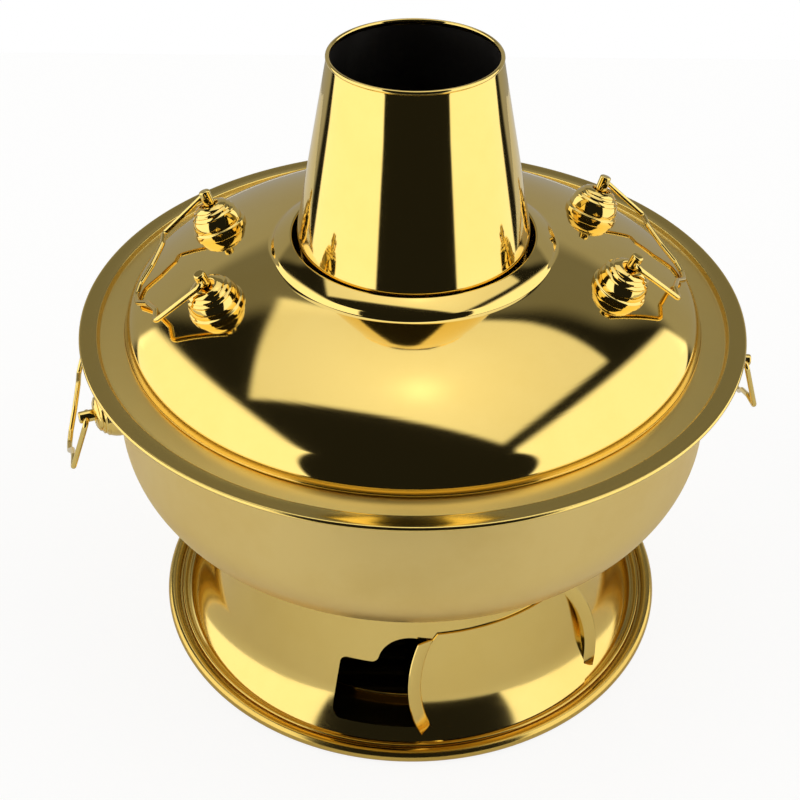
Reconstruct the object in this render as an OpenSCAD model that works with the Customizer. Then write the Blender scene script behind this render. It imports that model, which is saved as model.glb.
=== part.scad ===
// Chimney hot pot in polished sheet metal: a tray, a flared pedestal with a draft vent and
// a sliding door, a ring-shaped bowl round a tapered chimney, and a lift-off lid.
// Millimetres, +Z up. Origin: centre of the tray's underside. The vent faces -Y.

/* [Bowl and rim] */
// Radius over the rolled rim
rim_r = 160; // [158:0.5:164]
// Height of the rim ring's flat band at its outer edge
rim_z = 178.8; // [177:0.2:181]
// Radius of the rolled edge's bead
rim_bead_r = 1.1; // [0.9:0.1:1.4]
// Width of the flat outer band, bead included
band_w = 8.5; // [7:0.5:10]
// Depth of the ledge that the lid rests on, below the band
ledge_drop = 2.3; // [1.8:0.1:2.8]
// Width of that ledge
ledge_w = 18.5; // [18:0.5:19.5]
// Depth of the turned-down lip
ledge_lip = 5.5; // [4:0.5:7]
// Distance that the rim ring stands out past the bowl's straight wall
rim_over = 14.2; // [13:0.2:16]
// Radius of the rounding from the wall to the bottom
bowl_round_r = 44; // [40:1:46]
// Height of the straight wall under the rim ring
bowl_wall_h = 46.9; // [46:0.1:49]
// Slope of the bowl's conical bottom, degrees
bowl_slope = 13.6; // [12:0.2:15]
// Sheet of the bowl and the rim ring
bowl_sheet = 1; // [0.8:0.1:1.2]

/* [Chimney and grate] */
// Outer radius of the chimney at its foot
chimney_foot_r = 83.5; // [82:0.25:85]
// Depth of the chimney's foot below the place where the bowl meets it
chimney_foot_drop = 4.3; // [3.5:0.1:6]
// Outer radius of the chimney at its mouth
chimney_top_r = 38.4; // [37:0.2:40]
// Height of the chimney's mouth
chimney_top_z = 308.2; // [300:1:316]
// Sheet of the chimney
chimney_sheet = 1; // [0.8:0.1:1.2]
// Radius of the bead rolled round the mouth
mouth_bead_r = 1; // [0.8:0.1:1.2]
// Width of the in-turned flange that carries the grate
grate_flange_w = 6.5; // [5:0.5:8]
// Thickness of the fire grate
grate_t = 3; // [2:0.5:4]
// Width of a draft slot in the grate
grate_slot_w = 5; // [4:0.5:6]
// Distance between the slots' centres
grate_pitch = 12; // [11:0.5:14]

/* [Pedestal and tray] */
// Radius of the long hollow curve of the skirt
skirt_curve_r = 495; // [480:5:510]
// Least radius of that curve, at the height of its centre
skirt_neck_r = 84.8; // [84:0.2:86]
// Height of the centre of that curve
skirt_curve_z = 176; // [174:0.5:178]
// Radius of the hollow that runs the skirt out into its foot
foot_fillet_r = 9; // [8.5:0.1:9.5]
// Sheet of the skirt
skirt_sheet = 0.8; // [0.6:0.1:1]
// Width of the flat foot past the hollow
foot_lip = 0.56; // [0.5:0.02:0.8]
// Sheet of the tray's floor
tray_floor = 1; // [0.8:0.1:1.2]
// Width of the tray outside the pedestal's foot
tray_w = 11.6; // [11:0.2:14]
// Radius of the bead round the tray
tray_bead_r = 3.2; // [2.8:0.1:3.4]
// Radius of the low ridge that centres the pedestal
tray_ridge_r = 1.5; // [1.3:0.1:1.7]
// Outer radius of the ash pan
ash_r = 95.5; // [90:0.5:98]
// Height of the ash pan
ash_h = 4; // [3:0.5:6]

/* [Draft vent] */
// Height of the vent's sill
vent_z = 4; // [3.8:0.2:5]
// Half width of the vent at its sill
vent_low_w = 38.3; // [36:0.5:40]
// Half width of the vent at its shoulder
vent_high_w = 34.5; // [33:0.5:36]
// Height of the shoulder
vent_shoulder_z = 38; // [36:0.5:40]
// Radius of the round crown over the shoulder
vent_crown_r = 16; // [14:0.5:17]
// Height of the crown's centre below the shoulder
vent_crown_drop = 1.6; // [1:0.1:2]
// Radius of the vent's outer corners
vent_corner_r = 4; // [3:0.5:5]
// Radius of the hollow where the crown meets the shoulder
vent_hollow_r = 4; // [3:0.5:5]

/* [Draft door] */
// Radius of the round door
door_r = 47.8; // [46:0.2:49]
// Height of the door's centre on the skirt
door_z = 24.5; // [23:0.5:26]
// Height of the door's cut top edge
door_top_z = 54.5; // [53:0.5:56]
// Sheet of the door
door_sheet = 0.8; // [0.6:0.1:0.9]
// Gap between the door and the skirt
door_gap = 0.35; // [0.3:0.05:0.5]
// Turn of the open door from the vent, degrees
door_open = 27.5; // [26:0.5:29]
// Width of the door's flat lips
door_lip_w = 6.2; // [5:0.2:7]
// Depth of the lips behind the plane that touches the door's middle
door_lip_back = 5; // [4.5:0.1:5.5]
// Height of the lips' lower ends over the pedestal's foot
door_lip_low = 2.2; // [2:0.2:3]
// Distance of the lips' upper ends below the door's cut top edge
door_lip_top = 3; // [2.6:0.2:4]

/* [Lid] */
// Gap between the chimney and the hole that it passes through
lid_hole_fit = 1.8; // [1.4:0.1:2.4]
// Height of the collar's top over the rim
lid_h = 42.2; // [41:0.2:43]
// Radius of the crown curve
lid_crown_r = 140; // [136:1:144]
// Radius of the tight curve at the edge
lid_edge_r = 15.8; // [15:0.1:16.4]
// Slope of the crown at the collar, degrees
lid_slope_in = 8; // [7.5:0.1:8.5]
// Slope where the crown turns into the shoulder, degrees
lid_slope_mid = 14; // [13:0.5:15]
// Slope where the shoulder turns into the edge, degrees
lid_slope_out = 34; // [33:0.5:35]
// Slope where the edge ends at the foot, degrees
lid_slope_end = 84; // [80:1:86]
// Width of the collar from the hole to the crown
lid_collar_w = 9.2; // [8.8:0.1:9.8]
// Distance that the lid's foot stands out past the ledge's inner edge
lid_seat_w = 5.6; // [5:0.2:7]
// Gap under the lid's foot
lid_gap = 0.3; // [0.25:0.05:0.5]
// Sheet of the lid
lid_sheet = 1; // [0.8:0.1:1.1]
// Radius of the beads round the foot and the hole
lid_bead_r = 0.8; // [0.7:0.05:0.9]

/* [Lugs and bails] */
// Radius of a knob's base
knob_r = 13.2; // [12.5:0.1:13.6]
// Height of a knob
knob_h = 13; // [12.5:0.25:13.5]
// Radius of the recess in a knob's top
knob_recess_r = 4.2; // [4:0.1:4.6]
// Depth of that recess
knob_recess = 2; // [1.5:0.1:2.5]
// Radius of an eye stud
stud_r = 2.8; // [2.7:0.05:2.9]
// Height of the eye over the foot of its knob
eye_h = 16.6; // [16.2:0.1:17]
// Length of an eye stud past the middle of its eye
stud_over = 3.6; // [3.4:0.1:3.9]
// Half distance between the two eyes of a bail
eye_half = 36.7; // [36:0.1:37.5]
// Radius of a stud's tail
tail_r = 2; // [1.8:0.1:2.2]
// Clearance round a stud's tail
tail_fit = 0.05; // [0.03:0.01:0.08]
// Radius of the bails' wire
wire_r = 1.3; // [1.2:0.05:1.35]
// Clearance round the wire in its eye
eye_fit = 0.3; // [0.25:0.05:0.35]
// Reach of a bail from its hinge line to the point of its grip
bail_reach = 46.6; // [45:0.2:47.4]
// Length of a bail's arms, from the hinge line to the corners of the grip
bail_arm = 30.2; // [29:0.2:31]
// Half width of a bail over its eyes
bail_half = 42; // [41.8:0.1:42.6]
// Half width of a bail over the corners of its grip
grip_half = 38.4; // [37.8:0.2:39]
// Distance of the lid's knobs from the axis
lid_lug_r = 98.2; // [97:0.2:99]
// Turn of the lid's handle line to the back on the right, degrees
lid_turn = 5.3; // [0:0.1:10]
// Turn of the bowl's handle line to the back on the right, degrees
bowl_turn = 9; // [0:0.5:14]
// Outward lean of the bowl's bails from straight down, degrees
bowl_bail_out = 19; // [14:0.5:22]
// Depth of the bowl's knobs below the rim
bowl_lug_drop = 22.3; // [21:0.1:23]

/* [Hidden] */
$fn = 96;

gold = [0.93, 0.76, 0.36];
satin_gold = [0.78, 0.66, 0.38];
dark_iron = [0.2, 0.19, 0.18];
// Small overlap that lets a cutter pass a face
cut = 0.5;

// Points on an arc round (cx, cz), from angle a0 to angle a1, both ends kept
function arc_pts(cx, cz, r, a0, a1, n) =
    [for (i = [0:n]) let (a = a0 + (a1 - a0) * i / n) [cx + r * cos(a), cz + r * sin(a)]];
// The same points read backwards
function back(p) = [for (i = [len(p) - 1:-1:0]) p[i]];
// The points after the first, for an arc that runs on from the last one
function after(p) = [for (i = [1:len(p) - 1]) p[i]];

// Rim ring heights
band_in_r = rim_r - band_w;
ledge_in_r = band_in_r - ledge_w;
ledge_z = rim_z - ledge_drop;
rim_under_z = ledge_z - bowl_sheet;

// Bowl curve: where the conical bottom runs into the rounding
bowl_r = rim_r - rim_over;
bowl_bend_z = rim_under_z - bowl_wall_h;
bowl_round_x = bowl_r - bowl_round_r;
bowl_a0 = bowl_slope - 90;
bowl_tan_r = bowl_round_x + bowl_round_r * cos(bowl_a0);
bowl_tan_z = bowl_bend_z + bowl_round_r * sin(bowl_a0);
// The cone starts inside the chimney's sheet and is cut back to it
bowl_seam_r = chimney_foot_r - 2.5 * chimney_sheet;
bowl_seam_z = bowl_tan_z - (bowl_tan_r - bowl_seam_r) * tan(bowl_slope);

// Chimney cone
chimney_foot_z = bowl_seam_z - chimney_foot_drop;
chimney_taper = (chimney_foot_r - chimney_top_r) / (chimney_top_z - chimney_foot_z);
function chimney_at(z) = chimney_foot_r - chimney_taper * (z - chimney_foot_z);

// Angle on the rounding at which the bowl's lower and upper parts meet, degrees
bowl_split = -25;
// The curve is drawn in two lengths that meet where the round runs up into the wall
function bowl_low(d) = concat([[bowl_seam_r, bowl_seam_z + d / cos(bowl_slope)]],
    arc_pts(bowl_round_x, bowl_bend_z, bowl_round_r - d, bowl_a0, bowl_split, 12));
function bowl_high(d) = concat(
    arc_pts(bowl_round_x, bowl_bend_z, bowl_round_r - d, bowl_split, 0, 6), [[bowl_r - d, rim_under_z]]);
bowl_outline = concat(bowl_low(0), after(bowl_high(0)));
bowl_inline = concat(bowl_low(bowl_sheet), after(bowl_high(bowl_sheet)));

// Skirt curve: d shifts it outwards; heights run down to the foot fillet
skirt_curve_x = skirt_neck_r + skirt_curve_r;
foot_z = tray_floor + skirt_sheet;
fillet_z = foot_z + foot_fillet_r;
fillet_dx = sqrt((skirt_curve_r - foot_fillet_r) * (skirt_curve_r - foot_fillet_r)
    - (skirt_curve_z - fillet_z) * (skirt_curve_z - fillet_z));
fillet_x = skirt_curve_x - fillet_dx;
foot_r = fillet_x + foot_lip;
tray_r = foot_r + tray_w;
// Direction from the long curve's centre through the fillet's centre
join_a = 180 + asin((skirt_curve_z - fillet_z) / (skirt_curve_r - foot_fillet_r));
function skirt_at(z, d) = skirt_curve_x
    - sqrt((skirt_curve_r - d) * (skirt_curve_r - d) - (skirt_curve_z - z) * (skirt_curve_z - z));
// Angle on the long curve at a height, for the curve shifted outwards by d
function skirt_angle(z, d) = 180 + asin((skirt_curve_z - z) / (skirt_curve_r - d));
function skirt_line(z_top, d, end_a) = concat(
    arc_pts(skirt_curve_x, skirt_curve_z, skirt_curve_r - d, skirt_angle(z_top, d), join_a, 14),
    after(arc_pts(fillet_x, fillet_z, foot_fillet_r - d, join_a, end_a, 10)));
// The skirt runs up past the bowl and is cut back to its underside
skirt_high_z = chimney_foot_z + 16;

// Door on the skirt
door_side_r = skirt_at(door_z, 0);
door_tilt = asin((skirt_curve_z - door_z) / skirt_curve_r);
door_skin = door_gap + door_sheet;
door_foot_a = 268;

// Lid curves, each one tangent to the last; the shoulder's radius lets them end at the foot
lid_hole_z = rim_z + lid_h;
lid_hole_r = chimney_at(lid_hole_z) + lid_hole_fit;
lid_collar_r = lid_hole_r + lid_collar_w;
lid_rest_z = ledge_z + lid_gap;
lid_end_x = ledge_in_r + lid_seat_w;
lid_shoulder_r = (lid_end_x - lid_collar_r - lid_crown_r * (sin(lid_slope_mid) - sin(lid_slope_in))
    - lid_edge_r * (sin(lid_slope_end) - sin(lid_slope_out))) / (sin(lid_slope_out) - sin(lid_slope_mid));
lid_crown_x = lid_collar_r - lid_crown_r * sin(lid_slope_in);
lid_shoulder_x = lid_crown_x + (lid_crown_r - lid_shoulder_r) * sin(lid_slope_mid);
lid_edge_x = lid_shoulder_x + (lid_shoulder_r - lid_edge_r) * sin(lid_slope_out);
lid_edge_z = lid_rest_z + 1.1 * lid_sheet - lid_edge_r * cos(lid_slope_end);
lid_shoulder_z = lid_edge_z - (lid_shoulder_r - lid_edge_r) * cos(lid_slope_out);
lid_crown_z = lid_shoulder_z - (lid_crown_r - lid_shoulder_r) * cos(lid_slope_mid);
// The dome and the edge are drawn apart and meet where their curves do
function lid_dome(d) = concat(
    [[lid_hole_r + lid_bead_r, lid_hole_z - 1.2 * d]],
    arc_pts(lid_crown_x, lid_crown_z, lid_crown_r - d, 90 - lid_slope_in, 90 - lid_slope_mid, 9),
    after(arc_pts(lid_shoulder_x, lid_shoulder_z, lid_shoulder_r - d,
        90 - lid_slope_mid, 90 - lid_slope_out, 11)));
function lid_turn_down(d) =
    arc_pts(lid_edge_x, lid_edge_z, lid_edge_r - d, 90 - lid_slope_out, 90 - lid_slope_end, 7);
lid_outline = concat(lid_dome(0), after(lid_turn_down(0)));

// Lugs: slope of the shoulder where the lid's knobs stand, and its height there
lid_lug_a = asin((lid_lug_r - lid_shoulder_x) / lid_shoulder_r);
lid_lug_z = lid_shoulder_z + lid_shoulder_r * cos(lid_lug_a);
lid_eye_r = lid_lug_r + eye_h * sin(lid_lug_a);
lid_eye_z = lid_lug_z + eye_h * cos(lid_lug_a);
lid_spread = asin(eye_half / lid_eye_r);
lid_hinge_x = lid_eye_r * cos(lid_spread);
bowl_lug_z = rim_z - bowl_lug_drop;
bowl_eye_r = bowl_r + eye_h;
bowl_spread = asin(eye_half / bowl_eye_r);
bowl_hinge_x = bowl_eye_r * cos(bowl_spread);

// Rest angle of a lid bail below level: the point of its grip stops a gap short of the shoulder
rest_gap = 0.3;
bail_dx = lid_hinge_x - lid_shoulder_x;
bail_dz = lid_eye_z - lid_shoulder_z;
bail_stop_r = lid_shoulder_r + wire_r + rest_gap;
bail_k = (bail_dx * bail_dx + bail_dz * bail_dz + bail_reach * bail_reach
    - bail_stop_r * bail_stop_r) / (2 * bail_reach);
bail_rest = asin(bail_k / norm([bail_dx, bail_dz])) + atan2(bail_dx, bail_dz);

// A solid of revolution from a closed list of (radius, height) points
module turned(points) {
    rotate_extrude($fn = 96)
        polygon(points);
}

// A round bead rolled on an edge
module bead(r, z, bead_r) {
    rotate_extrude($fn = 96)
        translate([r, z])
            circle(r = bead_r, $fn = 32);
}

// Everything inside the bowl's outer face, used to trim what meets it
module bowl_body() {
    turned(concat([[0, bowl_seam_z]], bowl_outline, [[0, rim_under_z]]));
}

// Everything inside the chimney's outer face
module chimney_body() {
    turned([[0, chimney_foot_z - 20], [chimney_at(chimney_foot_z - 20), chimney_foot_z - 20],
        [chimney_at(chimney_top_z), chimney_top_z], [0, chimney_top_z]]);
}

// Everything under the lid's outer face, down to its foot
module lid_body() {
    turned(concat([[0, lid_hole_z]], lid_outline, [[0, lid_rest_z + lid_sheet]]));
}

// The dome's sheet before any hole
module lid_shell() {
    turned(concat(lid_dome(0), back(lid_dome(lid_sheet))));
}

// Puts a child on the lid, its own +Z along the sheet's normal; side 0 is right, 1 is left
module on_lid(side, way) {
    rotate([0, 0, lid_turn + 180 * side + way * lid_spread])
        translate([lid_lug_r, 0, lid_lug_z])
            rotate([0, lid_lug_a, 0])
                children();
}

// Puts a child on the bowl's wall, its own +Z pointing out
module on_bowl(side, way) {
    rotate([0, 0, bowl_turn + 180 * side + way * bowl_spread])
        translate([bowl_r, 0, bowl_lug_z])
            rotate([0, 90, 0])
                children();
}

// Beehive knob: a domed base with three stepped ridges and a sunk top; sunk lengthens its foot
module knob(sunk) {
    difference() {
        rotate_extrude($fn = 64)
            polygon(concat([[0, -sunk], [knob_r, -sunk]],
                arc_pts(knob_r - 0.9, 1.1, 0.9, 0, 80, 3),
                [[knob_r - 1, 2.4], [knob_r - 1, 3.6], [knob_r - 1.35, 5.3], [knob_r - 2.3, 7.7]],
                [[knob_r - 2.3, knob_h - 4.7], [knob_r - 3.2, knob_h - 4], [knob_r - 3.6, knob_h - 3.6]],
                [[knob_r - 3.5, knob_h - 3.1], [knob_r - 4.7, knob_h - 2.2], [knob_r - 5.1, knob_h - 1.9]],
                [[knob_r - 5, knob_h - 1.4], [knob_r - 6.4, knob_h - 0.6]],
                [[knob_r - 7.8, knob_h], [0, knob_h]]));
        translate([0, 0, knob_h - knob_recess])
            cylinder(r = knob_recess_r, h = knob_recess + cut);
        translate([0, 0, -sunk - cut])
            cylinder(r = tail_r + tail_fit, h = sunk + knob_h + cut);
    }
}

// Bore for a stud's tail through the sheet under a knob
module tail_bore() {
    translate([0, 0, -4])
        cylinder(r = tail_r + tail_fit, h = 8);
}

// Eye stud: a post with a shoulder in the knob's recess, a tail and a peened head. The bore
// for the wire is turned by skew about the post and leaned by lean along it.
module eye_stud(skew, lean) {
    seat = knob_h - knob_recess;
    top = eye_h + stud_over;
    head_r = tail_r + 1.8;
    difference() {
        rotate_extrude($fn = 48)
            polygon(concat([[0, -3], [head_r - 1, -3], [head_r, -2.2], [head_r, -0.6], [tail_r, -0.6],
                [tail_r, seat], [stud_r, seat]], arc_pts(stud_r - 0.8, top - 0.8, 0.8, 0, 90, 4),
                [[0, top]]));
        translate([0, 0, eye_h])
            rotate([0, 0, skew])
                rotate([90 + lean, 0, 0])
                    translate([0, 0, -2 * stud_r])
                        cylinder(r = wire_r + eye_fit, h = 4 * stud_r, $fn = 48);
    }
}

// Angle between two directions in the plane, and a unit vector
function unit(v) = v / norm(v);
function bend(a, b) = atan2(cross(a, b), a * b);

// Round wire along straight runs through the points, with each corner bent to its own radius
module wire(points, radii) {
    last = len(points) - 1;
    for (i = [0:last - 1]) {
        d = unit(points[i + 1] - points[i]);
        back_off = i == 0 ? 0 : corner_len(points, radii, i);
        fore_off = i == last - 1 ? 0 : corner_len(points, radii, i + 1);
        run = norm(points[i + 1] - points[i]) - back_off - fore_off;
        start = points[i] + d * back_off;
        translate([start[0], start[1], 0])
            rotate([0, 0, atan2(d[1], d[0])])
                rotate([0, 90, 0])
                    cylinder(r = wire_r, h = run, $fn = 32);
    }
    for (i = [1:last - 1]) {
        wire_corner(points, radii, i);
        off = corner_len(points, radii, i);
        wire_joint(points[i] - unit(points[i] - points[i - 1]) * off);
        wire_joint(points[i] + unit(points[i + 1] - points[i]) * off);
    }
}

// Faint swell where a bend runs into a straight
module wire_joint(p) {
    translate([p[0], p[1], 0])
        sphere(r = wire_r + 0.02, $fn = 32);
}

// Length that a bent corner takes from each of its two runs
function corner_len(p, radii, i) =
    radii[i] * tan(abs(bend(unit(p[i] - p[i - 1]), unit(p[i + 1] - p[i]))) / 2);

module wire_corner(p, radii, i) {
    d = unit(p[i] - p[i - 1]);
    turn = bend(d, unit(p[i + 1] - p[i]));
    side = turn > 0 ? 1 : -1;
    normal = [-d[1], d[0]] * side;
    start = p[i] - d * corner_len(p, radii, i);
    centre = start + normal * radii[i];
    first = atan2(-normal[1], -normal[0]);
    translate([centre[0], centre[1], 0])
        rotate([0, 0, turn > 0 ? first : first + turn])
            rotate_extrude(angle = abs(turn), $fn = 96)
                translate([radii[i], 0])
                    circle(r = wire_r, $fn = 32);
}

// Bail in its own plane: X along the hinge line, Y from the hinge line out to the grip. The
// arms run to two corners, and the grip between them bows out to a blunt point.
module bail() {
    tip = eye_half - stud_r - 0.8;
    bow = bail_reach - bail_arm;
    half = [[tip, 0], [bail_half, 0], [grip_half, bail_arm], [grip_half - 9.4, bail_arm + 0.3],
        [grip_half - 21.9, bail_arm + 0.4 * bow], [grip_half - 30.4, bail_reach - 0.12 * bow]];
    wire(concat(half, [[0, bail_reach]], [for (i = [5:-1:0]) [-half[i][0], half[i][1]]]),
        [0, 2.2, 2.5, 4, 6, 5, 8, 5, 6, 4, 2.5, 2.2, 0]);
}

// Outline of the vent, seen from the front
module vent_outline() {
    low_x = vent_low_w - vent_corner_r;
    low_z = vent_z + vent_corner_r;
    high_x = vent_high_w - vent_corner_r;
    high_z = vent_shoulder_z - vent_corner_r;
    side_a = atan((low_x - high_x) / (high_z - low_z));
    crown_z = vent_shoulder_z - vent_crown_drop;
    hollow_z = vent_shoulder_z + vent_hollow_r;
    reach = vent_crown_r + vent_hollow_r;
    meet_a = asin((hollow_z - crown_z) / reach);
    hollow_x = reach * cos(meet_a);
    polygon(concat(
        arc_pts(low_x, low_z, vent_corner_r, -90, side_a, 6),
        arc_pts(high_x, high_z, vent_corner_r, side_a, 90, 6),
        arc_pts(hollow_x, hollow_z, vent_hollow_r, 270, 180 + meet_a, 6),
        after(arc_pts(0, crown_z, vent_crown_r, meet_a, 180 - meet_a, 24)),
        after(arc_pts(-hollow_x, hollow_z, vent_hollow_r, -meet_a, -90, 6)),
        arc_pts(-high_x, high_z, vent_corner_r, 90, 180 - side_a, 6),
        arc_pts(-low_x, low_z, vent_corner_r, 180 - side_a, 270, 6)));
}

// Everything inside the skirt's outer face, grown outwards by d
module skirt_body(d) {
    turned(concat([[0, skirt_high_z]], skirt_line(skirt_high_z, d, 270),
        [[foot_r, foot_z + d], [foot_r, 0], [0, 0]]));
}

// Sheet of the door before it is cut round: the skirt's own curve, a gap further out
module door_sheet_ring() {
    turned(concat(skirt_line(door_top_z, door_gap, door_foot_a),
        back(skirt_line(door_top_z, door_skin, door_foot_a))));
}

// Puts a child on the skirt at the middle of the open door, its own +Z along the outward normal
module at_door() {
    rotate([0, 0, door_open - 90])
        translate([door_side_r, 0, door_z])
            rotate([0, 90 - door_tilt, 0])
                children();
}

module base_tray() {
    ridge_x = foot_r + 0.3 + tray_ridge_r + 1;
    bead_x = tray_r - tray_bead_r;
    color(gold)
        union() {
            cylinder(r = foot_r + 0.3, h = tray_floor, $fn = 128);
            turned([[foot_r + 0.3, 0], [bead_x + 2, 0], [bead_x + 2, 2.4], [foot_r + 0.3, 2.4]]);
            bead(ridge_x, 2 * tray_ridge_r, tray_ridge_r);
            bead(bead_x, tray_bead_r, tray_bead_r);
        }
}

module ash_pan() {
    color(gold)
        union() {
            turned([[0, tray_floor], [ash_r - 2, tray_floor], [ash_r - 0.8, tray_floor + ash_h - 1],
                [ash_r - 1.8, tray_floor + ash_h - 1], [ash_r - 2.7, tray_floor + 0.8],
                [0, tray_floor + 0.8]]);
            bead(ash_r - 1, tray_floor + ash_h - 1, 1);
        }
}

module pedestal_skirt() {
    color(gold)
        difference() {
            turned(concat(skirt_line(skirt_high_z, 0, 270), [[foot_r, foot_z], [foot_r, tray_floor]],
                back(skirt_line(skirt_high_z, -skirt_sheet, 270))));
            bowl_body();
            rotate([90, 0, 0])
                linear_extrude(height = tray_r)
                    vent_outline();
        }
}

module draft_door() {
    riser_in = door_r - door_sheet;
    color(gold)
        union() {
            intersection() {
                door_sheet_ring();
                at_door()
                    translate([0, 0, -40])
                        cylinder(r = door_r - door_sheet / 2, h = 80, $fn = 128);
            }
            intersection() {
                difference() {
                    at_door()
                        rotate_extrude($fn = 128)
                            polygon([[riser_in, -20], [door_r, -20],
                                [door_r, -door_lip_back - door_sheet],
                                [door_r + door_lip_w, -door_lip_back - door_sheet],
                                [door_r + door_lip_w, -door_lip_back], [riser_in, -door_lip_back]]);
                    skirt_body(door_gap + door_sheet / 2);
                }
                translate([0, 0, foot_z + door_lip_low])
                    cylinder(r = tray_r, h = door_top_z - foot_z - door_lip_low - door_lip_top);
            }
        }
}

// Lower part of the bowl: the conical bottom and most of the round
module bowl() {
    color(satin_gold)
        difference() {
            turned(concat(bowl_low(0), back(bowl_low(bowl_sheet))));
            chimney_body();
        }
}

// Upper part of the bowl: the wall, with the studs' bores
module bowl_wall() {
    color(satin_gold)
        difference() {
            turned(concat(bowl_high(0), back(bowl_high(bowl_sheet))));
            for (side = [0, 1])
                for (way = [-1, 1])
                    on_bowl(side, way)
                        tail_bore();
        }
}

module rim_ring() {
    fold_x = band_in_r - 1.1;
    color(gold)
        union() {
            turned(concat([[rim_r - rim_bead_r, rim_z + 0.3], [band_in_r, rim_z], [fold_x, ledge_z]],
                arc_pts(ledge_in_r + 1.5, ledge_z - 1.5, 1.5, 90, 180, 4),
                [[ledge_in_r, ledge_z - ledge_lip], [ledge_in_r + bowl_sheet, ledge_z - ledge_lip],
                [ledge_in_r + bowl_sheet, rim_under_z], [fold_x + 0.7, rim_under_z],
                [band_in_r + 0.7, rim_z - bowl_sheet], [rim_r - rim_bead_r, rim_z - bowl_sheet]]));
            bead(rim_r - rim_bead_r, rim_z - rim_bead_r / 2, rim_bead_r);
        }
}

module chimney() {
    wall = chimney_sheet;
    color(gold)
        union() {
            turned([[chimney_at(chimney_foot_z) - wall, chimney_foot_z],
                [chimney_at(chimney_foot_z), chimney_foot_z],
                [chimney_top_r, chimney_top_z], [chimney_top_r - wall, chimney_top_z]]);
            bead(chimney_top_r - wall / 2, chimney_top_z, mouth_bead_r);
        }
}

// Seat for the grate inside the chimney's foot
module grate_ring() {
    wall = chimney_sheet;
    color(gold)
        turned([[chimney_at(chimney_foot_z) - grate_flange_w, chimney_foot_z],
            [chimney_at(chimney_foot_z) - wall, chimney_foot_z],
            [chimney_at(chimney_foot_z + wall) - wall, chimney_foot_z + wall],
            [chimney_at(chimney_foot_z) - grate_flange_w, chimney_foot_z + wall]]);
}

module fire_grate() {
    disc_r = chimney_at(chimney_foot_z + chimney_sheet + grate_t) - chimney_sheet - 0.6;
    span = disc_r - grate_flange_w - 4;
    count = floor(span / grate_pitch);
    color(dark_iron)
        difference() {
            translate([0, 0, chimney_foot_z + chimney_sheet])
                cylinder(r = disc_r, h = grate_t, $fn = 128);
            for (i = [-count:count])
                for (s = [-1, 1])
                    translate([s * 3 + (s < 0 ? -slot_len(span, i) : 0), i * grate_pitch - grate_slot_w / 2,
                        chimney_foot_z])
                        cube([slot_len(span, i), grate_slot_w, grate_t + 2 * chimney_sheet]);
        }
}

// Length of a grate slot from the middle bar to the ring
function slot_len(span, i) = sqrt(span * span - (i * grate_pitch) * (i * grate_pitch)) + 2;

// Dome of the lid, with its collar and the studs' bores
module lid() {
    color(gold)
        union() {
            difference() {
                lid_shell();
                for (side = [0, 1])
                    for (way = [-1, 1])
                        on_lid(side, way)
                            tail_bore();
            }
            bead(lid_hole_r + lid_bead_r, lid_hole_z - lid_sheet / 2, lid_bead_r);
        }
}

// Turned-down edge of the lid, with its rolled bead
module lid_edge() {
    color(gold)
        union() {
            turned(concat(lid_turn_down(0), back(lid_turn_down(lid_sheet))));
            bead(lid_end_x - lid_sheet / 2, lid_rest_z + lid_bead_r, lid_bead_r);
        }
}

// Beehive knob standing on the lid's curve
module lid_knob(side, way) {
    color(gold)
        difference() {
            on_lid(side, way)
                knob(2.6);
            lid_body();
        }
}

// Beehive knob standing on the bowl's wall
module bowl_knob(side, way) {
    color(gold)
        difference() {
            on_bowl(side, way)
                knob(2.6);
            bowl_body();
        }
}

// Stud riveted through a lid knob, its head closed under the lid's sheet
module lid_eye(side, way) {
    color(gold)
        difference() {
            on_lid(side, way)
                eye_stud(-way * atan(tan(lid_spread) * cos(lid_lug_a)),
                    way * asin(sin(lid_spread) * sin(lid_lug_a)));
            difference() {
                lid_shell();
                on_lid(side, way)
                    tail_bore();
            }
        }
}

// Stud riveted through a bowl knob, its head closed inside the bowl's wall
module bowl_eye(side, way) {
    color(gold)
        difference() {
            on_bowl(side, way)
                eye_stud(0, way * bowl_spread);
            difference() {
                turned(concat(bowl_outline, back(bowl_inline)));
                on_bowl(side, way)
                    tail_bore();
            }
        }
}

// Wire bail resting on the lid's shoulder
module lid_bail(side) {
    color(gold)
        rotate([0, 0, lid_turn + 180 * side])
            translate([lid_hinge_x, 0, lid_eye_z])
                rotate([0, bail_rest, 0])
                    rotate([0, 0, -90])
                        bail();
}

// Wire bail hanging from the bowl's lugs
module bowl_bail(side) {
    color(gold)
        rotate([0, 0, bowl_turn + 180 * side])
            translate([bowl_hinge_x, 0, bowl_lug_z])
                rotate([0, 90 - bowl_bail_out, 0])
                    rotate([0, 0, -90])
                        bail();
}

base_tray();
ash_pan();
pedestal_skirt();
draft_door();
bowl();
bowl_wall();
rim_ring();
chimney();
grate_ring();
fire_grate();
lid();
lid_edge();
lid_knob(0, -1);  // lid_knob_right_front
lid_knob(0, 1);  // lid_knob_right_back
lid_knob(1, 1);  // lid_knob_left_front
lid_knob(1, -1);  // lid_knob_left_back
lid_eye(0, -1);  // lid_eye_right_front
lid_eye(0, 1);  // lid_eye_right_back
lid_eye(1, 1);  // lid_eye_left_front
lid_eye(1, -1);  // lid_eye_left_back
bowl_knob(0, -1);  // bowl_knob_right_front
bowl_knob(0, 1);  // bowl_knob_right_back
bowl_knob(1, 1);  // bowl_knob_left_front
bowl_knob(1, -1);  // bowl_knob_left_back
bowl_eye(0, -1);  // bowl_eye_right_front
bowl_eye(0, 1);  // bowl_eye_right_back
bowl_eye(1, 1);  // bowl_eye_left_front
bowl_eye(1, -1);  // bowl_eye_left_back
lid_bail(0);  // lid_bail_right
lid_bail(1);  // lid_bail_left
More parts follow.
